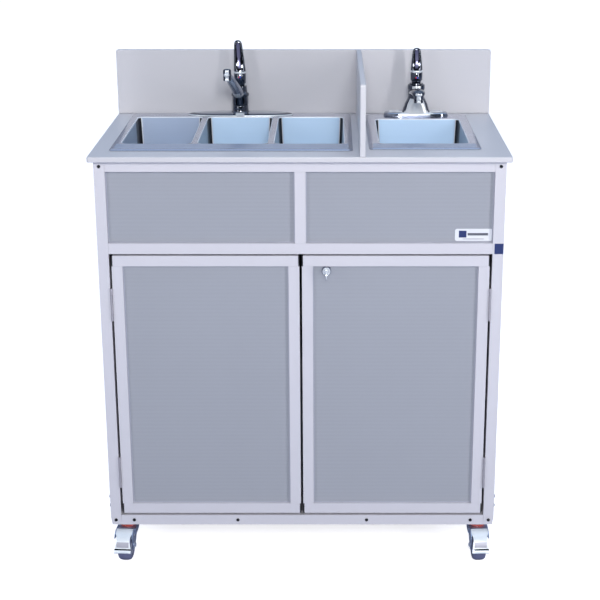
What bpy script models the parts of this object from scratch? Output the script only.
"""Portable sink cabinet on casters: three wash bowls, one hand bowl, their taps, tanks, pump and heater.

Metres, +Z up, front towards -Y. The origin is on the floor, under the middle of the overall box.
"""

import math

import bmesh
import bpy
from mathutils import Matrix, Vector

# ---------------------------------------------------------------- driving dimensions
GAP = 0.0003  # running or resting clearance between neighbours
HOSE_GAP = 0.0010  # a hose's end is cut square to its first bend, so it stands a little further off
REAR = 0.285  # rear face of the counter and the backsplash
COUNTER_WIDTH = 0.965
COUNTER_DEPTH = 0.546
COUNTER_TOP = 1.0255
SLAB = 0.0127  # thickness of the counter, the backsplash and the divider
SPLASH_HEIGHT = 0.165
FRONT = REAR - COUNTER_DEPTH  # front edge of the counter

TUBE = 0.0254  # square aluminium profile
WALL = 0.0016  # wall of that profile
CABINET_HALF = 0.471
CABINET_FRONT = FRONT + 0.020
CABINET_DEPTH = 0.508
CABINET_REAR = CABINET_FRONT + CABINET_DEPTH
CABINET_BOTTOM = 0.0985
CABINET_TOP = COUNTER_TOP - SLAB - GAP
POST_INNER = CABINET_HALF - TUBE
RAIL_HALF = POST_INNER - GAP
MID_RAIL_LOW = 0.7924
MID_RAIL_HIGH = MID_RAIL_LOW + TUBE
TOP_RAIL_LOW = CABINET_TOP - TUBE
BOTTOM_RAIL_HIGH = CABINET_BOTTOM + TUBE
PANEL = 0.003
PANEL_RECESS = 0.010

DOOR_LOW = 0.1300
DOOR_HIGH = 0.7880
DOOR_OUTER = 0.4400
DOOR_INNER = 0.0030
DOOR_THICK = 0.020
DOOR_PANEL_RECESS = 0.008
HINGE_X = 0.4428
HINGE_Y = CABINET_FRONT - 0.0035
HINGE_HEIGHT = 0.080
HINGE_CENTRES = {"upper": 0.6695, "lower": 0.2400}
KNUCKLE_RADIUS = 0.0031
PIN_RADIUS = 0.0014
LEAF = 0.0012
LEAF_INSET = 0.0013  # from the pin's axis to the nearer face of a leaf
LEAF_DEPTH = 0.024

FLANGE_RISE = 0.0045
FLANGE_TOP = COUNTER_TOP + FLANGE_RISE
FLANGE_SLOPE = 0.012
SHEET = 0.0012
BOWL_DEPTH = 0.140
BOWL_CORNER = 0.014
BOWL_DRAFT = 0.004
BOWL_FLOOR = FLANGE_TOP - BOWL_DEPTH
TRIPLE_FLANGE = (-0.441, 0.121, -0.196, 0.264)
TRIPLE_BOWLS = ((-0.421, -0.258), (-0.242, -0.079), (-0.062, 0.101))
TRIPLE_BOWL_Y = (-0.131, 0.200)
HAND_FLANGE = (0.159, 0.419, -0.181, 0.244)
HAND_BOWL = (0.184, 0.394)
HAND_BOWL_Y = (-0.128, 0.172)
DRAIN_Y = 0.030
DRAIN_RADIUS = 0.0225

KITCHEN = (-0.162, 0.2295)
HAND_TAP = (0.2885, 0.2185)
SHANK_RADIUS = 0.0110
SHANK_LOW = 0.975
KITCHEN_SEAT = 1.1030
HAND_SEAT = 1.1120
KITCHEN_BODY_TOP = 1.0568
KITCHEN_NECK = 0.0135
SPOUT_SWING = -5.8  # degrees, at rest
LEVER_PIVOT_RISE = 0.0095
BALL = 0.0128
CAP_RADIUS = 0.0153

LOCK_X = 0.060
LOCK_Z = 0.7505
KEY_FRONT = -REAR

WHEEL_RADIUS = 0.038  # to the flats: a flat rests on the floor
WHEEL_SIDES = 24
WHEEL_WIDTH = 0.032
CASTER_TRAIL = 0.032
CASTER_X = 0.4355
FRONT_CASTER_Y = FRONT + 0.063
REAR_CASTER_Y = CABINET_REAR - 0.043
CASTER_TURN = {"front_left": -4, "front_right": 2, "rear_left": 12, "rear_right": -9}
PEDAL_PIVOT = (0.040, 0.069)
RACE_RADIUS = 0.0175
YOKE_LOW = 0.0768
YOKE_HIGH = 0.0803

FLOOR_TOP = 0.1137
TANK_Y = (-0.090, 0.150)
FRESH_X_SPAN = (-0.425, -0.135)
FRESH_NECK_X = -0.250
FRESH_TOP = 0.4600
WASTE_X_SPAN = (-0.100, 0.200)
WASTE_X = 0.050
WASTE_TOP = 0.4900
WASTE_NECK = WASTE_TOP + 0.040
SPIGOT_X = -0.280
SPIGOT_REACH = 0.012
PUMP_Y = 0.2000
PUMP_Z = 0.1700
PUMP_OUTLET_X = -0.270
PUMP_OUTLET_TOP = 0.2200
HEATER_X = 0.335
HEATER_TOP = 0.4500
HEATER_Y = 0.130
HEATER_PIPES = (HEATER_X - 0.035, HEATER_X + 0.035)
HEATER_PIPE_TOP = HEATER_TOP + 0.020

SIDES = {"left": -1, "right": 1}
ROUND = 16  # sides of a turned piece


# ---------------------------------------------------------------- helpers
def clear_scene():
    for obj in list(bpy.data.objects):
        bpy.data.objects.remove(obj)


def make_material(name, color, roughness, metallic):
    material = bpy.data.materials.new(name)
    material.use_nodes = True
    shader = material.node_tree.nodes["Principled BSDF"]
    shader.inputs["Base Color"].default_value = (*color, 1)
    shader.inputs["Roughness"].default_value = roughness
    shader.inputs["Metallic"].default_value = metallic
    return material


def object_from(name, bm):
    bmesh.ops.recalc_face_normals(bm, faces=bm.faces)
    mesh = bpy.data.meshes.new(name)
    bm.to_mesh(mesh)
    bm.free()
    obj = bpy.data.objects.new(name, mesh)
    bpy.context.scene.collection.objects.link(obj)
    return obj


def loft(name, rings, wrap=False):
    """Skins rings of equal count; open ends are capped, or the last ring meets the first."""
    bm = bmesh.new()
    rows = [[bm.verts.new(point) for point in ring] for ring in rings]
    count = len(rows[0])
    pairs = list(zip(rows, rows[1:]))
    if wrap:
        pairs.append((rows[-1], rows[0]))
    for low, high in pairs:
        for i in range(count):
            j = (i + 1) % count
            bm.faces.new((low[i], low[j], high[j], high[i]))
    if not wrap:
        bm.faces.new(rows[0][::-1])
        bm.faces.new(rows[-1])
    return object_from(name, bm)


def box(name, x, y, z):
    low, high = min(x), max(x)
    ring = [(low, y[0]), (high, y[0]), (high, y[1]), (low, y[1])]
    return loft(name, [[(u, v, h) for u, v in ring] for h in z])


def rounded_rectangle(x, y, z, radius, steps=3):
    """A level ring of points round a rectangle with arcs for corners."""
    centres = (
        (x[1] - radius, y[1] - radius, 0),
        (x[0] + radius, y[1] - radius, 90),
        (x[0] + radius, y[0] + radius, 180),
        (x[1] - radius, y[0] + radius, 270),
    )
    ring = []
    for cx, cy, start in centres:
        for step in range(steps + 1):
            angle = math.radians(start + 90 * step / steps)
            ring.append((cx + radius * math.cos(angle), cy + radius * math.sin(angle), z))
    return ring


def grown(span, margin):
    return (span[0] - margin, span[1] + margin)


def turned(name, profile, centre, axis=(0, 0, 1), wrap=False, steps=ROUND, phase=0.0):
    """A turned piece: profile is (radius, distance along the axis) from one end to the other."""
    turn = Vector((0, 0, 1)).rotation_difference(Vector(axis)).to_matrix()
    rings = []
    for radius, along in profile:
        ring = []
        for step in range(steps):
            angle = phase + 2 * math.pi * step / steps
            offset = turn @ Vector((radius * math.cos(angle), radius * math.sin(angle), along))
            ring.append(Vector(centre) + offset)
        rings.append(ring)
    return loft(name, rings, wrap)


def rod(name, radius, start, end, steps=ROUND):
    start, end = Vector(start), Vector(end)
    return turned(name, ((radius, 0), (radius, (end - start).length)), start, end - start, steps=steps)


def prism(name, outline, low, high, place):
    """An outline of (u, z) points pushed along w; place turns (u, w, z) into row coordinates."""
    return loft(name, [[place(u, w, z) for u, z in outline] for w in (low, high)])


def combine(target, tools, operation):
    for tool in tools:
        modifier = target.modifiers.new("combine", "BOOLEAN")
        modifier.operation = operation
        modifier.object = tool
        bpy.context.view_layer.update()
        graph = bpy.context.evaluated_depsgraph_get()
        mesh = bpy.data.meshes.new_from_object(target.evaluated_get(graph))
        target.modifiers.clear()
        target.data = mesh
        bpy.data.objects.remove(tool)
    return target


def fuse(target, *tools):
    return combine(target, tools, "UNION")


def cut(target, *tools):
    return combine(target, tools, "DIFFERENCE")


def smooth_route(points, per_leg=5):
    """Points along a Catmull-Rom curve through the route's own points."""
    route = [Vector(point) for point in points]
    ends = [2 * route[0] - route[1]] + route + [2 * route[-1] - route[-2]]
    curve = []
    for a, b, c, d in zip(ends, ends[1:], ends[2:], ends[3:]):
        for step in range(per_leg):
            t = step / per_leg
            bend = (2 * a - 5 * b + 4 * c - d) * t**2 + (3 * b - a - 3 * c + d) * t**3
            curve.append(0.5 * (2 * b + (c - a) * t + bend))
    curve.append(route[-1])
    return curve


def hose(name, points, radius, per_leg=3, resolution=1):
    """A bevelled curve along the smoothed route, turned into a mesh so that branches can be joined."""
    curve = bpy.data.curves.new(name, "CURVE")
    curve.dimensions = "3D"
    curve.bevel_depth = radius
    curve.bevel_resolution = resolution
    curve.use_fill_caps = True
    spline = curve.splines.new("POLY")
    route = smooth_route(points, per_leg)
    spline.points.add(len(route) - 1)
    for point, place in zip(spline.points, route):
        point.co = (*place, 1)
    guide = bpy.data.objects.new(name, curve)
    bpy.context.scene.collection.objects.link(guide)
    bpy.context.view_layer.update()
    graph = bpy.context.evaluated_depsgraph_get()
    bm = bmesh.new()
    bm.from_mesh(bpy.data.meshes.new_from_object(guide.evaluated_get(graph)))
    bmesh.ops.remove_doubles(bm, verts=bm.verts, dist=1e-6)
    bpy.data.objects.remove(guide)
    return object_from(name, bm)


def finish(obj, material, pivot=None):
    """Gives the piece its material and puts its origin on its joint's axis."""
    obj.data.materials.clear()
    obj.data.materials.append(material)
    if pivot:
        obj.data.transform(Matrix.Translation(-Vector(pivot)))
        obj.location = pivot
    obj.data.shade_smooth()
    obj.data.set_sharp_from_angle(angle=math.radians(35))
    return obj


def attach(parent, *children):
    bpy.context.view_layer.update()
    for child in children:
        child.parent = parent
        child.matrix_parent_inverse = parent.matrix_world.inverted()


# ---------------------------------------------------------------- cabinet
def side_frame(name, side, material):
    """Two posts, two rails and two caster plates as one loop of hollow profile."""
    outer = (side * POST_INNER, side * CABINET_HALF)
    bore = (side * (POST_INNER + WALL), side * (CABINET_HALF - WALL))
    rail_bore = (side * (POST_INNER + WALL + 0.0004), side * (CABINET_HALF - WALL - 0.0004))
    frame = box(name, outer, (CABINET_FRONT, CABINET_REAR), (CABINET_BOTTOM, CABINET_TOP))
    tools = [
        box(
            "window",
            (side * (POST_INNER - 0.01), side * (CABINET_HALF + 0.01)),
            (CABINET_FRONT + TUBE, CABINET_REAR - TUBE),
            (BOTTOM_RAIL_HIGH, TOP_RAIL_LOW),
        )
    ]
    for low in (CABINET_FRONT, CABINET_REAR - TUBE):
        ends = (CABINET_BOTTOM - 0.001, CABINET_TOP + 0.001)
        tools.append(box("post_bore", bore, (low + WALL, low + TUBE - WALL), ends))
    for low in (CABINET_BOTTOM, TOP_RAIL_LOW):
        along = (CABINET_FRONT + 0.01, CABINET_REAR - 0.01)
        tools.append(box("rail_bore", rail_bore, along, (low + WALL, low + TUBE - WALL)))
    cut(frame, *tools)
    for y in (FRONT_CASTER_Y, REAR_CASTER_Y):
        near, far = sorted((y + math.copysign(0.017, y), y - math.copysign(0.048, y)))
        plate_x = (side * 0.385, side * (POST_INNER + 0.0009))
        fuse(frame, box("caster_plate", plate_x, (near, far), (0.0990, 0.1020)))
    return finish(frame, material)


def open_rail(name, y, z, material):
    """A hollow profile between the posts, open at both ends."""
    rail = box(name, (-RAIL_HALF, RAIL_HALF), y, z)
    bore = box("bore", (-0.5, 0.5), (y[0] + WALL, y[1] - WALL), (z[0] + WALL, z[1] - WALL))
    return finish(cut(rail, bore), material)


def front_upper_frame(material):
    """The two rails above the doors with the short stile that joins them."""
    y = (CABINET_FRONT, CABINET_FRONT + TUBE)
    half = TUBE / 2
    frame = box("front_upper_frame", (-RAIL_HALF, RAIL_HALF), y, (MID_RAIL_LOW, CABINET_TOP))
    tools = []
    for side in (-1, 1):
        across = (side * half, side * 0.5)
        tools.append(box("window", across, (y[0] - 0.01, y[1] + 0.01), (MID_RAIL_HIGH, TOP_RAIL_LOW)))
    for low in (MID_RAIL_LOW, TOP_RAIL_LOW):
        inside = (low + WALL, low + TUBE - WALL)
        tools.append(box("rail_bore", (-0.5, 0.5), (y[0] + WALL, y[1] - WALL), inside))
    inset = WALL + 0.0004
    bore_y = (y[0] + inset, y[1] - inset)
    bore_z = (MID_RAIL_LOW + 0.01, CABINET_TOP - 0.01)
    tools.append(box("stile_bore", (half - inset, inset - half), bore_y, bore_z))
    return finish(cut(frame, *tools), material)


def cabinet(profile, sheet):
    for label, side in SIDES.items():
        side_frame(f"{label}_side_frame", side, profile)
        wall_low = POST_INNER + (TUBE - PANEL) / 2
        wall_x = (side * wall_low, side * (wall_low + PANEL))
        inside_y = (CABINET_FRONT + TUBE + GAP, CABINET_REAR - TUBE - GAP)
        inside_z = (BOTTOM_RAIL_HIGH + GAP, TOP_RAIL_LOW - GAP)
        finish(box(f"{label}_side_panel", wall_x, inside_y, inside_z), sheet)
        upper_x = (side * (TUBE / 2 + GAP), side * RAIL_HALF)
        upper_y = (CABINET_FRONT + PANEL_RECESS, CABINET_FRONT + PANEL_RECESS + PANEL)
        upper_z = (MID_RAIL_HIGH + GAP, TOP_RAIL_LOW - GAP)
        finish(box(f"upper_panel_{label}", upper_x, upper_y, upper_z), sheet)
    front_upper_frame(profile)
    front_y = (CABINET_FRONT, CABINET_FRONT + TUBE)
    rear_y = (CABINET_REAR - TUBE, CABINET_REAR)
    open_rail("front_bottom_rail", front_y, (CABINET_BOTTOM, BOTTOM_RAIL_HIGH), profile)
    open_rail("rear_bottom_rail", rear_y, (CABINET_BOTTOM, BOTTOM_RAIL_HIGH), profile)
    open_rail("rear_top_rail", rear_y, (TOP_RAIL_LOW, CABINET_TOP), profile)
    floor_y = (CABINET_FRONT + TUBE + GAP, CABINET_REAR - TUBE - GAP)
    finish(box("floor_panel", (-RAIL_HALF, RAIL_HALF), floor_y, (FLOOR_TOP - PANEL, FLOOR_TOP)), sheet)


def rear_panel_and_inlet(sheet, plastic):
    """The back sheet, and the mains inlet socket that sits in its cut-out."""
    low = CABINET_REAR - (TUBE + PANEL) / 2
    y = (low, low + PANEL)
    panel = box("rear_panel", (-RAIL_HALF, RAIL_HALF), y, (BOTTOM_RAIL_HIGH + GAP, TOP_RAIL_LOW - GAP))
    hole = box("hole", (0.340, 0.380), (y[0] - 0.01, y[1] + 0.01), (0.190, 0.220))
    finish(cut(panel, hole), sheet)
    inlet = box("power_inlet", (0.3405, 0.3795), (y[0] - 0.020, y[1] + 0.0020), (0.1905, 0.2195))
    fuse(inlet, box("bezel", (0.334, 0.386), (y[1] + GAP, y[1] + 0.0045), (0.184, 0.226)))
    cut(inlet, box("socket", (0.348, 0.372), (y[0] - 0.010, y[1] + 0.010), (0.196, 0.214)))
    finish(inlet, plastic)


# ---------------------------------------------------------------- top and sinks
def worktop(material):
    half = COUNTER_WIDTH / 2
    low = COUNTER_TOP - SLAB
    slab = loft(
        "countertop",
        [rounded_rectangle((-half, half), (FRONT, REAR), z, 0.005, 3) for z in (low, COUNTER_TOP)],
    )
    for x0, x1, y0, y1 in (TRIPLE_FLANGE, HAND_FLANGE):
        opening = (x0 + FLANGE_SLOPE, x1 - FLANGE_SLOPE), (y0 + FLANGE_SLOPE, y1 - FLANGE_SLOPE)
        rings = [rounded_rectangle(*opening, z, 0.012) for z in (low - 0.01, COUNTER_TOP + 0.01)]
        cut(slab, loft("opening", rings))
    finish(slab, material)

    high = COUNTER_TOP + SPLASH_HEIGHT
    foot = COUNTER_TOP + GAP
    corner = 0.005
    outline = [(-half, foot), (half, foot)]
    for centre, start in ((half - corner, 0), (corner - half, 90)):
        for step in range(5):
            angle = math.radians(start + 90 * step / 4)
            outline.append((centre + corner * math.cos(angle), high - corner + corner * math.sin(angle)))
    finish(prism("backsplash", outline, REAR - SLAB, REAR, lambda u, w, z: (u, w, z)), material)

    ease = 0.006
    outline = [(FRONT, foot), (REAR - SLAB - GAP, foot), (REAR - SLAB - GAP, high)]
    for step in range(5):
        angle = math.radians(90 + 90 * step / 4)
        outline.append((FRONT + ease + ease * math.cos(angle), high - ease + ease * math.sin(angle)))
    finish(prism("divider", outline, 0.1360, 0.1360 + SLAB, lambda u, w, z: (w, u, z)), material)


def bowl_form(x, y, top, floor, margin):
    """A bowl's form, drafted to a slightly smaller, rounded floor; margin grows it all round."""
    rings = []
    for z, inset, corner in (
        (top, 0, BOWL_CORNER),
        (floor + 0.020, BOWL_DRAFT, BOWL_CORNER + 0.002),
        (floor + 0.006, BOWL_DRAFT + 0.004, BOWL_CORNER + 0.006),
        (floor, BOWL_DRAFT + 0.014, BOWL_CORNER + 0.010),
    ):
        grow = margin - inset
        rings.append(rounded_rectangle(grown(x, grow), grown(y, grow), z, corner + margin))
    return loft("bowl", rings)


def drop_in_sink(name, flange, bowls, bowl_y, tap, material):
    """A pressed sheet sink: a raised flange that laps the worktop, with its bowls and its tap hole."""
    x0, x1, y0, y1 = flange
    x, y = (x0, x1), (y0, y1)
    base = COUNTER_TOP + GAP
    sink = loft(
        name,
        [
            rounded_rectangle(x, y, base, 0.008),
            rounded_rectangle(x, y, base + 0.0010, 0.008),
            rounded_rectangle(grown(x, -0.005), grown(y, -0.005), base + 0.0032, 0.010),
            rounded_rectangle(grown(x, -FLANGE_SLOPE), grown(y, -FLANGE_SLOPE), FLANGE_TOP, 0.012),
        ],
    )
    inset = -FLANGE_SLOPE - 0.0010
    hollow = [
        rounded_rectangle(grown(x, inset), grown(y, inset), z, 0.010)
        for z in (base - 0.01, FLANGE_TOP - SHEET)
    ]
    cut(sink, loft("hollow", hollow))
    for bowl in bowls:
        fuse(sink, bowl_form(bowl, bowl_y, FLANGE_TOP - 0.0004, BOWL_FLOOR - SHEET, SHEET))
    for bowl in bowls:
        cut(sink, bowl_form(bowl, bowl_y, FLANGE_TOP + 0.005, BOWL_FLOOR, 0))
        middle = (sum(bowl) / 2, DRAIN_Y)
        cut(sink, rod("drain", DRAIN_RADIUS, (*middle, BOWL_FLOOR - 0.02), (*middle, BOWL_FLOOR + 0.02)))
    cut(sink, rod("tap_hole", SHANK_RADIUS + 0.0015, (*tap, base - 0.02), (*tap, FLANGE_TOP + 0.01)))
    return finish(sink, material)


def strainer(name, x, material):
    """A flanged drain with its tail and a cross over its mouth; the flange lies on the bowl's floor."""
    profile = (
        (0.0160, -0.0450),
        (0.0215, -0.0450),
        (0.0215, GAP),
        (0.0290, GAP),
        (0.0280, 0.0020),
        (0.0225, 0.0020),
        (0.0160, -0.0080),
    )
    piece = turned(name, profile, (x, DRAIN_Y, BOWL_FLOOR), wrap=True)
    half = 0.0015
    reach = 0.0212
    across = (DRAIN_Y - half, DRAIN_Y + half)
    along = (DRAIN_Y - reach, DRAIN_Y + reach)
    low = BOWL_FLOOR - 0.0022
    fuse(piece, box("bar", (x - reach, x + reach), across, (low, low + 0.0020)))
    fuse(piece, box("bar", (x - half, x + half), along, (low + 0.0002, low + 0.0018)))
    return finish(piece, material)


def waste_manifold(drains, material):
    """Four tails into one sloping collector, and its drop to the waste tank."""
    top = BOWL_FLOOR - 0.0450 - GAP
    low, high = min(drains) - 0.02, max(drains) + 0.02
    collector = rod("waste_manifold", 0.0190, (low, DRAIN_Y, 0.7960), (high, DRAIN_Y, 0.8020))
    for x in drains:
        fuse(collector, rod("tail", 0.0175, (x, DRAIN_Y, 0.8000), (x, DRAIN_Y, top)))
    foot = WASTE_NECK + GAP
    fuse(collector, rod("drop", 0.0170, (WASTE_X, DRAIN_Y, 0.7980), (WASTE_X, DRAIN_Y, foot)))
    fuse(collector, rod("socket", 0.0230, (WASTE_X, DRAIN_Y, foot), (WASTE_X, DRAIN_Y, foot + 0.0297)))
    return finish(collector, material)


# ---------------------------------------------------------------- water supply
def tank(name, x, top, neck_x, neck_reach):
    """A blow-moulded can with rounded edges, a screw neck and a carrying bridge."""
    low = FLOOR_TOP + GAP
    stations = (
        (low, 0.014),
        (low + 0.004, 0.004),
        (low + 0.014, 0),
        (top - 0.030, 0),
        (top - 0.010, 0.008),
        (top, 0.030),
    )
    rings = [rounded_rectangle(grown(x, -inset), grown(TANK_Y, -inset), z, 0.032) for z, inset in stations]
    can = loft(name, rings)
    neck = ((0.030, 0), (0.030, neck_reach))
    fuse(can, turned("neck", neck, (neck_x, DRAIN_Y, top - 0.002), steps=20))
    for y in (-0.060, 0.010):
        foot_x = (neck_x - 0.085, neck_x - 0.065)
        fuse(can, box("bridge_foot", foot_x, (y, y + 0.018), (top - 0.010, top + 0.034)))
    bridge_x = (neck_x - 0.084, neck_x - 0.066)
    fuse(can, box("bridge", bridge_x, (-0.059, 0.027), (top + 0.020, top + 0.0335)))
    return can


def tanks(plastic, grey_plastic):
    fresh = tank("fresh_tank", FRESH_X_SPAN, FRESH_TOP, FRESH_NECK_X, 0.030)
    start = (SPIGOT_X, TANK_Y[1] - 0.005, PUMP_Z)
    fuse(fresh, rod("spigot", 0.0100, start, (SPIGOT_X, TANK_Y[1] + SPIGOT_REACH, PUMP_Z)))
    finish(fresh, plastic)
    waste = tank("waste_tank", WASTE_X_SPAN, WASTE_TOP, WASTE_X, WASTE_NECK - WASTE_TOP + 0.002)
    finish(waste, grey_plastic)


def pump(material):
    """A small demand pump: feet, motor can, head, inlet and outlet."""
    low = FLOOR_TOP + GAP
    body = box("water_pump", (-0.350, -0.252), (PUMP_Y - 0.022, PUMP_Y + 0.022), (low, low + 0.010))
    fuse(body, box("saddle", (-0.335, -0.262), (PUMP_Y - 0.012, PUMP_Y + 0.012), (low + 0.005, PUMP_Z)))
    fuse(body, rod("motor", 0.0300, (-0.360, PUMP_Y, PUMP_Z), (-0.285, PUMP_Y, PUMP_Z), steps=20))
    head_z = (PUMP_Z - 0.026, PUMP_Z + 0.027)
    fuse(body, box("head", (-0.300, -0.240), (PUMP_Y - 0.026, PUMP_Y + 0.026), head_z))
    inlet_start = (SPIGOT_X, TANK_Y[1] + SPIGOT_REACH + GAP, PUMP_Z)
    fuse(body, rod("inlet", 0.0100, inlet_start, (SPIGOT_X, PUMP_Y, PUMP_Z)))
    outlet_end = (PUMP_OUTLET_X, PUMP_Y, PUMP_OUTLET_TOP)
    fuse(body, rod("outlet", 0.0080, (PUMP_OUTLET_X, PUMP_Y, PUMP_Z), outlet_end))
    return finish(body, material)


def heater(material):
    """A small storage heater with its two connections and its control dial."""
    x, y = (0.245, 0.425), (-0.020, 0.200)
    stations = ((FLOOR_TOP + GAP, 0.006), (0.122, 0), (HEATER_TOP - 0.008, 0), (HEATER_TOP, 0.008))
    rings = [rounded_rectangle(grown(x, -inset), grown(y, -inset), z, 0.020) for z, inset in stations]
    body = loft("water_heater", rings)
    for pipe_x in HEATER_PIPES:
        start = (pipe_x, HEATER_Y, HEATER_TOP - 0.003)
        fuse(body, rod("connection", 0.0090, start, (pipe_x, HEATER_Y, HEATER_PIPE_TOP)))
    dial_z = 0.200
    fuse(body, rod("dial", 0.0200, (HEATER_X, -0.018, dial_z), (HEATER_X, -0.032, dial_z), steps=20))
    return finish(body, material)


def supply_lines(cold_material, hot_material):
    """Two branching hoses: pump to heater and taps, and heater to taps."""
    radius = 0.0050
    end = SHANK_LOW - HOSE_GAP
    nozzle = HEATER_PIPE_TOP + HOSE_GAP
    cold_x, hot_x = HEATER_PIPES
    pump_to_kitchen = [
        (PUMP_OUTLET_X, PUMP_Y, PUMP_OUTLET_TOP + HOSE_GAP),
        (PUMP_OUTLET_X, PUMP_Y + 0.002, 0.300),
        (-0.240, 0.222, 0.450),
        (-0.180, 0.224, 0.640),
        (-0.169, 0.2285, 0.800),
        (-0.169, 0.2295, 0.900),
        (-0.169, 0.2295, end),
    ]
    tee_to_hand_tap = [
        (-0.1760, 0.2247, 0.680),
        (-0.100, 0.224, 0.700),
        (0.100, 0.224, 0.700),
        (0.240, 0.224, 0.705),
        (0.278, 0.223, 0.780),
        (0.2815, 0.2190, 0.900),
        (0.2815, 0.2185, end),
    ]
    tee_to_heater = [
        (0.235, 0.224, 0.704),
        (0.275, 0.205, 0.650),
        (0.298, 0.150, 0.560),
        (cold_x, HEATER_Y, 0.510),
        (cold_x, HEATER_Y, nozzle),
    ]
    cold = hose("cold_line", pump_to_kitchen, radius)
    fuse(cold, hose("branch", tee_to_hand_tap, radius * 0.98))
    fuse(cold, hose("feed", tee_to_heater, radius * 0.96))
    finish(cold, cold_material)

    heater_to_hand_tap = [
        (hot_x, HEATER_Y, nozzle),
        (hot_x, HEATER_Y, 0.520),
        (0.355, 0.160, 0.620),
        (0.318, 0.196, 0.740),
        (0.298, 0.214, 0.840),
        (0.2955, 0.2185, 0.900),
        (0.2955, 0.2185, end),
    ]
    tee_to_kitchen = [
        (0.317, 0.1965, 0.743),
        (0.250, 0.198, 0.770),
        (0.000, 0.198, 0.775),
        (-0.120, 0.200, 0.780),
        (-0.152, 0.220, 0.850),
        (-0.155, 0.2295, 0.910),
        (-0.155, 0.2295, end),
    ]
    hot = hose("hot_line", heater_to_hand_tap, radius)
    fuse(hot, hose("branch", tee_to_kitchen, radius * 0.98))
    finish(hot, hot_material)


# ---------------------------------------------------------------- taps
def mixer_handle(prefix, centre, seat, cap_rise, lever_top, lean, chrome):
    """The cartridge that turns for temperature, and the lever on it that tilts for flow."""
    pivot_z = seat + LEVER_PIVOT_RISE
    profile = [(0.0174, seat + GAP), (0.0174, seat + 0.0018), (0.0110, seat + 0.0021)]
    for step in range(7):
        angle = math.radians(-28 + 112 * step / 6)
        profile.append((BALL * math.cos(angle), pivot_z + BALL * math.sin(angle)))
    cartridge = turned(f"{prefix}_cartridge", profile, (*centre, 0))
    finish(cartridge, chrome, (*centre, pivot_z))

    cap_top = pivot_z + cap_rise
    profile = (
        (CAP_RADIUS, pivot_z),
        (CAP_RADIUS, cap_top - 0.0030),
        (CAP_RADIUS - 0.0010, cap_top - 0.0010),
        (CAP_RADIUS - 0.0028, cap_top),
    )
    cap = turned(f"{prefix}_lever", profile, (*centre, 0))
    hollow = BALL + GAP + 0.0002
    profile = [(hollow, pivot_z - 0.004)]
    for step in range(7):
        angle = math.radians(84 * step / 6)
        profile.append((hollow * math.cos(angle), pivot_z + hollow * math.sin(angle)))
    cut(cap, turned("socket", profile, (*centre, 0)))
    rings = []
    reach = lever_top - cap_top
    for share, half_width, half_depth in (
        (-0.10, 0.0150, 0.0110),
        (0.25, 0.0135, 0.0078),
        (0.70, 0.0110, 0.0058),
        (0.92, 0.0098, 0.0048),
        (1.00, 0.0060, 0.0025),
    ):
        middle = (centre[0] + lean * max(share, 0), centre[1] + 0.004 * share)
        rings.append(oval(middle, half_width, half_depth, cap_top + reach * share, steps=12))
    fuse(cap, loft("paddle", rings))
    finish(cap, chrome, (*centre, pivot_z))
    attach(cartridge, cap)
    return cartridge


def oval(centre, half_x, half_y, z, power=1.0, steps=20):
    ring = []
    for step in range(steps):
        angle = 2 * math.pi * step / steps
        c, s = math.cos(angle), math.sin(angle)
        x = centre[0] + half_x * math.copysign(abs(c) ** power, c)
        y = centre[1] + half_y * math.copysign(abs(s) ** power, s)
        ring.append((x, y, z))
    return ring


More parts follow.
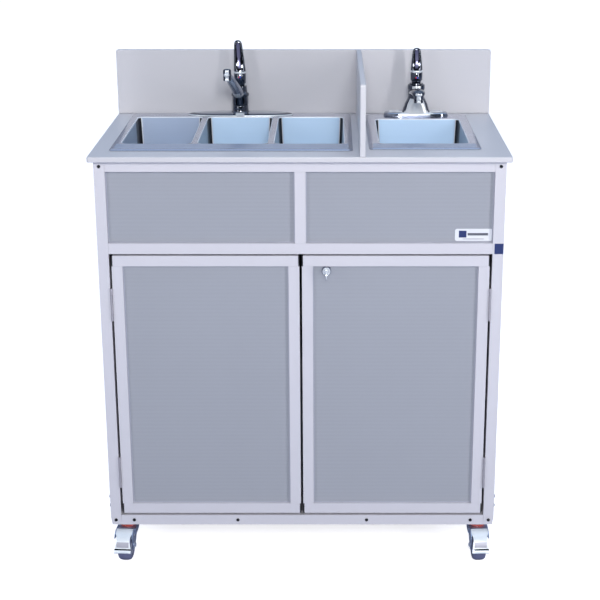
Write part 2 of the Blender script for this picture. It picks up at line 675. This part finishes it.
def kitchen_tap(chrome):
    x, y = KITCHEN
    base = FLANGE_TOP + GAP
    plate = loft(
        "kitchen_tap_base",
        [
            oval(KITCHEN, 0.1350, 0.0290, base, 0.8),
            oval(KITCHEN, 0.1345, 0.0288, base + 0.0020, 0.8),
            oval(KITCHEN, 0.1200, 0.0230, base + 0.0055, 0.8),
            oval(KITCHEN, 0.0800, 0.0190, base + 0.0080, 0.8),
        ],
    )
    profile = (
        (SHANK_RADIUS, SHANK_LOW),
        (SHANK_RADIUS, base + 0.003),
        (0.0225, base + 0.004),
        (0.0205, base + 0.012),
        (0.0200, KITCHEN_BODY_TOP - 0.002),
        (0.0190, KITCHEN_BODY_TOP),
        (KITCHEN_NECK, KITCHEN_BODY_TOP),
        (KITCHEN_NECK, KITCHEN_SEAT),
    )
    fuse(plate, turned("body", profile, (x, y, 0)))
    finish(plate, chrome)

    bore = KITCHEN_NECK + GAP
    profile = (
        (bore, KITCHEN_BODY_TOP + GAP),
        (0.0195, KITCHEN_BODY_TOP + GAP),
        (0.0205, KITCHEN_BODY_TOP + 0.003),
        (0.0205, KITCHEN_SEAT - 0.024),
        (0.0225, KITCHEN_SEAT - 0.022),
        (0.0225, KITCHEN_SEAT - 0.018),
        (0.0180, KITCHEN_SEAT - 0.014),
        (0.0172, KITCHEN_SEAT - 0.004),
        (0.0165, KITCHEN_SEAT - GAP),
        (bore, KITCHEN_SEAT - GAP),
    )
    spout = turned("kitchen_spout", profile, (x, y, 0), wrap=True)
    swing = Matrix.Rotation(math.radians(SPOUT_SWING), 3, "Z")

    def along(forward, height, half_width, half_height, tilt):
        """An upright oval section of the arm, leaning back by tilt degrees."""
        ring = []
        lean = math.radians(tilt)
        for step in range(12):
            angle = 2 * math.pi * step / 12
            across = half_width * math.cos(angle)
            up = half_height * math.sin(angle)
            local = swing @ Vector((across, -forward + up * math.sin(lean), 0))
            ring.append((x + local.x, y + local.y, height + up * math.cos(lean)))
        return ring

    sections = (
        (0.0165, 1.0880, 0.0125, 0.0090, 0),
        (0.0400, 1.0985, 0.0130, 0.0100, 20),
        (0.1000, 1.1250, 0.0125, 0.0095, 22),
        (0.1500, 1.1465, 0.0115, 0.0085, 18),
        (0.1850, 1.1605, 0.0100, 0.0075, 10),
        (0.1980, 1.1640, 0.0080, 0.0060, 0),
        (0.2040, 1.1645, 0.0040, 0.0035, 0),
    )
    fuse(spout, loft("arm", [along(*section) for section in sections]))
    tip = swing @ Vector((0, -0.1900, 0))
    mouth = (x + tip.x, y + tip.y)
    nozzle = ((0.0080, 1.1490), (0.0098, 1.1490), (0.0098, 1.1730), (0.0084, 1.1762), (0.0040, 1.1775))
    fuse(spout, turned("nozzle", nozzle, (*mouth, 0)))
    cut(spout, rod("mouth", 0.0080, (*mouth, 1.1440), (*mouth, 1.1540)))
    finish(spout, chrome, (x, y, 1.08))
    mixer_handle("kitchen", KITCHEN, KITCHEN_SEAT, 0.0300, 1.2205, -0.004, chrome)


def hand_tap(chrome):
    x, y = HAND_TAP
    base = FLANGE_TOP + GAP
    body = loft(
        "hand_tap_base",
        [
            oval(HAND_TAP, 0.0825, 0.0255, base, 0.6),
            oval(HAND_TAP, 0.0820, 0.0252, base + 0.0060, 0.6),
            oval(HAND_TAP, 0.0740, 0.0200, base + 0.0110, 0.6),
        ],
    )
    tower = loft(
        "tower",
        [
            oval(HAND_TAP, 0.0385, 0.0235, base + 0.0040, 0.6),
            oval(HAND_TAP, 0.0335, 0.0228, 1.0460, 0.65),
            oval(HAND_TAP, 0.0285, 0.0220, 1.0620, 0.7),
            oval(HAND_TAP, 0.0235, 0.0212, 1.0720, 0.8),
            oval(HAND_TAP, 0.0205, 0.0208, 1.0800, 1.0),
            oval(HAND_TAP, 0.0205, 0.0205, 1.0970, 1.0),
            oval(HAND_TAP, 0.0218, 0.0218, 1.0985, 1.0),
            oval(HAND_TAP, 0.0218, 0.0218, 1.1100, 1.0),
            oval(HAND_TAP, 0.0180, 0.0180, HAND_SEAT, 1.0),
        ],
    )
    fuse(body, tower)
    rings = []
    for forward, height, half_width, half_height in (
        (0.000, 1.0860, 0.0195, 0.0105),
        (0.040, 1.0935, 0.0190, 0.0112),
        (0.080, 1.0990, 0.0180, 0.0108),
        (0.105, 1.1015, 0.0165, 0.0100),
        (0.118, 1.1015, 0.0120, 0.0075),
        (0.122, 1.1010, 0.0065, 0.0042),
    ):
        ring = []
        for step in range(12):
            angle = 2 * math.pi * step / 12
            up = half_height * math.sin(angle)
            ring.append((x + half_width * math.cos(angle), y - forward, height + up))
        rings.append(ring)
    fuse(body, loft("spout", rings))
    mouth = (x, y - 0.1090)
    fuse(body, rod("aerator", 0.0115, (*mouth, 1.0725), (*mouth, 1.0980)))
    cut(body, rod("mouth", 0.0085, (*mouth, 1.0680), (*mouth, 1.0780)))
    fuse(body, rod("shank", SHANK_RADIUS, (x, y, SHANK_LOW), (x, y, base + 0.0050)))
    finish(body, chrome)
    mixer_handle("hand", HAND_TAP, HAND_SEAT, 0.0255, 1.2025, 0.0, chrome)


# ---------------------------------------------------------------- doors, hinges and lock
def hinge(label, side, centre, steel):
    """A butt hinge: the leaf on the post carries the pin, and the leaf on the door swings on it."""
    low = centre - HINGE_HEIGHT / 2
    knuckle = HINGE_HEIGHT / 5
    axis = (side * HINGE_X, HINGE_Y)
    back = HINGE_Y + KNUCKLE_RADIUS + 0.0005
    leaf_y = (back, HINGE_Y + LEAF_DEPTH)
    leaf_z = (low + GAP, low + HINGE_HEIGHT - GAP)
    leaves = {}
    for role, turn, own in (("frame", 1, (0, 2, 4)), ("door", -1, (1, 3))):
        x = (side * (HINGE_X + turn * LEAF_INSET), side * (HINGE_X + turn * (LEAF_INSET + LEAF)))
        leaf = box(f"hinge_{label}_{role}_leaf", x, leaf_y, leaf_z)
        for index in own:
            z = (low + index * knuckle + GAP, low + (index + 1) * knuckle - GAP)
            fuse(leaf, box("ear", x, (HINGE_Y, back + 0.001), z))
            fuse(leaf, rod("barrel", KNUCKLE_RADIUS, (*axis, z[0]), (*axis, z[1]), steps=10))
        if role == "frame":
            pin_z = (low + 2 * GAP, low + HINGE_HEIGHT - 2 * GAP)
            fuse(leaf, rod("pin", PIN_RADIUS, (*axis, pin_z[0]), (*axis, pin_z[1]), steps=8))
        else:
            bore = PIN_RADIUS + GAP
            cut(leaf, rod("bore", bore, (*axis, low), (*axis, low + HINGE_HEIGHT), steps=8))
        leaves[role] = finish(leaf, steel, (*axis, centre))
    return leaves


def door(label, side, profile, sheet, steel):
    """An inset door: a profile frame, a sheet set back in it, and the moving leaves of its hinges."""
    y = (CABINET_FRONT, CABINET_FRONT + DOOR_THICK)
    frame = box(f"{label}_door_frame", (side * DOOR_INNER, side * DOOR_OUTER), y, (DOOR_LOW, DOOR_HIGH))
    window_x = (side * (DOOR_INNER + TUBE), side * (DOOR_OUTER - TUBE))
    window_z = (DOOR_LOW + TUBE, DOOR_HIGH - TUBE)
    cut(frame, box("window", window_x, (y[0] - 0.01, y[1] + 0.01), window_z))
    pivot = (side * HINGE_X, HINGE_Y, DOOR_LOW)
    finish(frame, profile, pivot)
    panel_x = tuple(sorted((side * (DOOR_INNER + TUBE + GAP), side * (DOOR_OUTER - TUBE - GAP))))
    panel_y = (y[0] + DOOR_PANEL_RECESS, y[0] + DOOR_PANEL_RECESS + PANEL)
    panel = box(f"{label}_door_panel", panel_x, panel_y, (window_z[0] + GAP, window_z[1] - GAP))
    if side > 0:
        ends = [(LOCK_X, y_end, LOCK_Z) for y_end in (panel_y[0] - 0.01, panel_y[1] + 0.01)]
        cut(panel, rod("lock_hole", 0.0083, *ends))
    finish(panel, sheet, pivot)
    attach(frame, panel)
    for height, centre in HINGE_CENTRES.items():
        leaves = hinge(f"{label}_{height}", side, centre, steel)
        attach(frame, leaves["door"])
    return frame


def lock(door_frame, chrome):
    """A cam lock in the right door: the barrel is fixed, and the key turns its plug and cam."""
    face = CABINET_FRONT - 0.004
    panel = CABINET_FRONT + DOOR_PANEL_RECESS
    bore = 0.0060
    place = (LOCK_X, 0, LOCK_Z)
    profile = (
        (bore, face),
        (0.0085, face),
        (0.0095, face + 0.001),
        (0.0095, panel - GAP),
        (0.0080, panel - GAP),
        (0.0080, panel + 0.0170),
        (bore, panel + 0.0170),
    )
    barrel = turned("lock_barrel", profile, place, (0, 1, 0), wrap=True)
    nut_bore = bore + 0.0010
    nut_y = (panel + PANEL + GAP, panel + 0.0070)
    nut = ((nut_bore, nut_y[0]), (0.0125, nut_y[0]), (0.0125, nut_y[1]), (nut_bore, nut_y[1]))
    fuse(barrel, turned("nut", nut, place, (0, 1, 0), wrap=True, steps=6))
    finish(barrel, chrome, (LOCK_X, panel, LOCK_Z))

    cam_y = (CABINET_FRONT + TUBE + 0.0006, CABINET_FRONT + TUBE + 0.0031)
    plug_ends = [(LOCK_X, y_end, LOCK_Z) for y_end in (face - 0.0010, cam_y[0] + 0.001)]
    key = rod("lock_key", bore - GAP, *plug_ends)
    cam_z = (LOCK_Z - 0.007, LOCK_Z + 0.007)
    fuse(key, box("cam", (LOCK_X - 0.009, LOCK_X + 0.050), cam_y, cam_z))
    bow_radius = 0.0120
    bow_y = KEY_FRONT + bow_radius
    blade_z = (LOCK_Z - 0.0040, LOCK_Z + 0.0040)
    fuse(key, box("blade", (LOCK_X - 0.0010, LOCK_X + 0.0010), (bow_y, face), blade_z))
    fuse(key, rod("bow", bow_radius, (LOCK_X - 0.0011, bow_y, LOCK_Z), (LOCK_X + 0.0011, bow_y, LOCK_Z)))
    ring_y = bow_y - 0.005
    ring_ends = [(LOCK_X + step, ring_y, LOCK_Z) for step in (-0.01, 0.01)]
    cut(key, rod("ring_hole", 0.0035, *ring_ends, steps=12))
    finish(key, chrome, (LOCK_X, panel, LOCK_Z))
    attach(door_frame, barrel)
    attach(barrel, key)


# ---------------------------------------------------------------- casters
def arc(centre, radius, start, end, steps):
    points = []
    for step in range(steps + 1):
        angle = math.radians(start + (end - start) * step / steps)
        points.append((centre[0] + radius * math.cos(angle), centre[1] + radius * math.sin(angle)))
    return points


def caster(label, x, y, turn, brake, steel, rubber, chrome):
    """A swivel caster: u runs from the swivel axis towards the wheel, w along the axle."""
    forward = Vector((math.sin(math.radians(turn)), -math.cos(math.radians(turn)), 0))
    axle = Vector((math.cos(math.radians(turn)), math.sin(math.radians(turn)), 0))

    def place(u, w, z):
        return Vector((x, y, z)) + forward * u + axle * w

    def pin(name, radius, u, z, low, high, steps=16):
        return rod(name, radius, place(u, low, z), place(u, high, z), steps)

    inner = WHEEL_WIDTH / 2 + 0.0015
    outer = inner + 0.0025
    top = CABINET_BOTTOM - GAP
    fork = rod(f"caster_{label}_fork", RACE_RADIUS, (x, y, YOKE_HIGH - 0.0010), (x, y, top))
    yoke = [(-0.018, YOKE_LOW), (0.026, YOKE_LOW), (0.026, YOKE_HIGH), (-0.018, YOKE_HIGH)]
    fuse(fork, prism("yoke", yoke, -outer + 0.0001, outer - 0.0001, place))
    leg = [(-0.0170, YOKE_HIGH - 0.0005), (-0.0120, 0.0650), (0.0210, 0.0300), (0.0320, 0.0260)]
    leg += [(0.0430, 0.0320), (0.0480, 0.0660), (0.0440, 0.0740), (0.0250, YOKE_HIGH - 0.0005)]
    for side in (-1, 1):
        fuse(fork, prism("leg", leg, side * inner, side * outer, place))
        nut = (side * (outer - 0.0005), side * (outer + 0.0040))
        fuse(fork, pin("nut", 0.0060, CASTER_TRAIL, WHEEL_RADIUS, *nut, 6))
        if brake:
            stud = (side * (outer - 0.0005), side * (outer + 0.0038))
            fuse(fork, pin("stud", 0.0030, *PEDAL_PIVOT, *stud, 12))
    fuse(fork, pin("axle", 0.0040, CASTER_TRAIL, WHEEL_RADIUS, -outer + 0.0005, outer - 0.0005))
    finish(fork, steel, (x, y, CABINET_BOTTOM))

    half = WHEEL_WIDTH / 2
    hub = place(CASTER_TRAIL, 0, WHEEL_RADIUS)
    half_side = math.pi / WHEEL_SIDES
    r = WHEEL_RADIUS / math.cos(half_side)
    bore = 0.0040 + GAP
    profile = [(bore, -half), (0.0240, 0.002 - half), (r - 0.004, 0.001 - half), (r, 0.007 - half)]
    profile += [(radius, -along) for radius, along in profile[::-1]]
    phase = math.radians(turn) + half_side
    wheel = turned(f"caster_{label}_wheel", profile, hub, axle, True, WHEEL_SIDES, phase)
    finish(wheel, rubber, hub)
    attach(fork, wheel)

    if brake:
        near, far = outer + GAP + 0.0002, outer + 0.0027
        centre = (CASTER_TRAIL, WHEEL_RADIUS)
        shell = arc(centre, 0.0465, 78, 12, 7) + [(0.0805, 0.0430), (0.0815, 0.0400)]
        shell += [(0.0835, 0.0420), (0.0822, 0.0450)] + arc(centre, 0.0485, 12, 78, 7)
        pedal = prism(f"caster_{label}_brake_pedal", shell, -far, far, place)
        pivot_u, pivot_z = PEDAL_PIVOT
        ear = [(pivot_u - 0.006, pivot_z - 0.005), (pivot_u + 0.006, pivot_z - 0.006)]
        ear += [(0.0660, 0.0690), (0.0430, 0.0845), (0.0350, 0.0780)]
        for side in (-1, 1):
            fuse(pedal, prism("ear", ear, side * near, side * (far - 0.0001), place))
            cut(pedal, pin("hole", 0.0034, *PEDAL_PIVOT, side * (near - 0.001), side * (far + 0.001), 12))
        finish(pedal, chrome, place(PEDAL_PIVOT[0], 0, PEDAL_PIVOT[1]))
        attach(fork, pedal)


# ---------------------------------------------------------------- whole object
def build():
    clear_scene()
    profile = make_material("profile_aluminium", (0.62, 0.62, 0.70), 0.45, 0.6)
    sheet = make_material("panel_sheet", (0.33, 0.36, 0.42), 0.5, 0.2)
    top = make_material("worktop_laminate", (0.55, 0.56, 0.66), 0.4, 0.0)
    stainless = make_material("stainless", (0.60, 0.62, 0.66), 0.3, 1.0)
    chrome = make_material("chrome", (0.80, 0.82, 0.85), 0.08, 1.0)
    steel = make_material("zinc_steel", (0.55, 0.58, 0.64), 0.35, 1.0)
    tread = make_material("wheel_rubber", (0.25, 0.26, 0.32), 0.6, 0.0)
    white = make_material("white_plastic", (0.80, 0.82, 0.84), 0.5, 0.0)
    grey = make_material("grey_plastic", (0.30, 0.32, 0.35), 0.5, 0.0)
    black = make_material("black_plastic", (0.03, 0.03, 0.035), 0.5, 0.0)
    cold = make_material("cold_hose", (0.12, 0.25, 0.60), 0.5, 0.0)
    hot = make_material("hot_hose", (0.60, 0.10, 0.10), 0.5, 0.0)

    cabinet(profile, sheet)
    rear_panel_and_inlet(sheet, black)
    worktop(top)
    drop_in_sink("triple_sink", TRIPLE_FLANGE, TRIPLE_BOWLS, TRIPLE_BOWL_Y, KITCHEN, stainless)
    drop_in_sink("hand_sink", HAND_FLANGE, (HAND_BOWL,), HAND_BOWL_Y, HAND_TAP, stainless)
    drains = [sum(bowl) / 2 for bowl in (*TRIPLE_BOWLS, HAND_BOWL)]
    for name, x in zip(("left", "middle", "right", "hand"), drains):
        strainer(f"strainer_{name}", x, steel)
    waste_manifold(drains, white)
    tanks(white, grey)
    pump(black)
    heater(white)
    supply_lines(cold, hot)
    kitchen_tap(chrome)
    hand_tap(chrome)
    for label, side in SIDES.items():
        frame = door(label, side, profile, sheet, steel)
        if side > 0:
            lock(frame, chrome)
        for end, y in (("front", FRONT_CASTER_Y), ("rear", REAR_CASTER_Y)):
            place = f"{end}_{label}"
            caster(place, side * CASTER_X, y, CASTER_TURN[place], end == "front", steel, tread, chrome)


build()
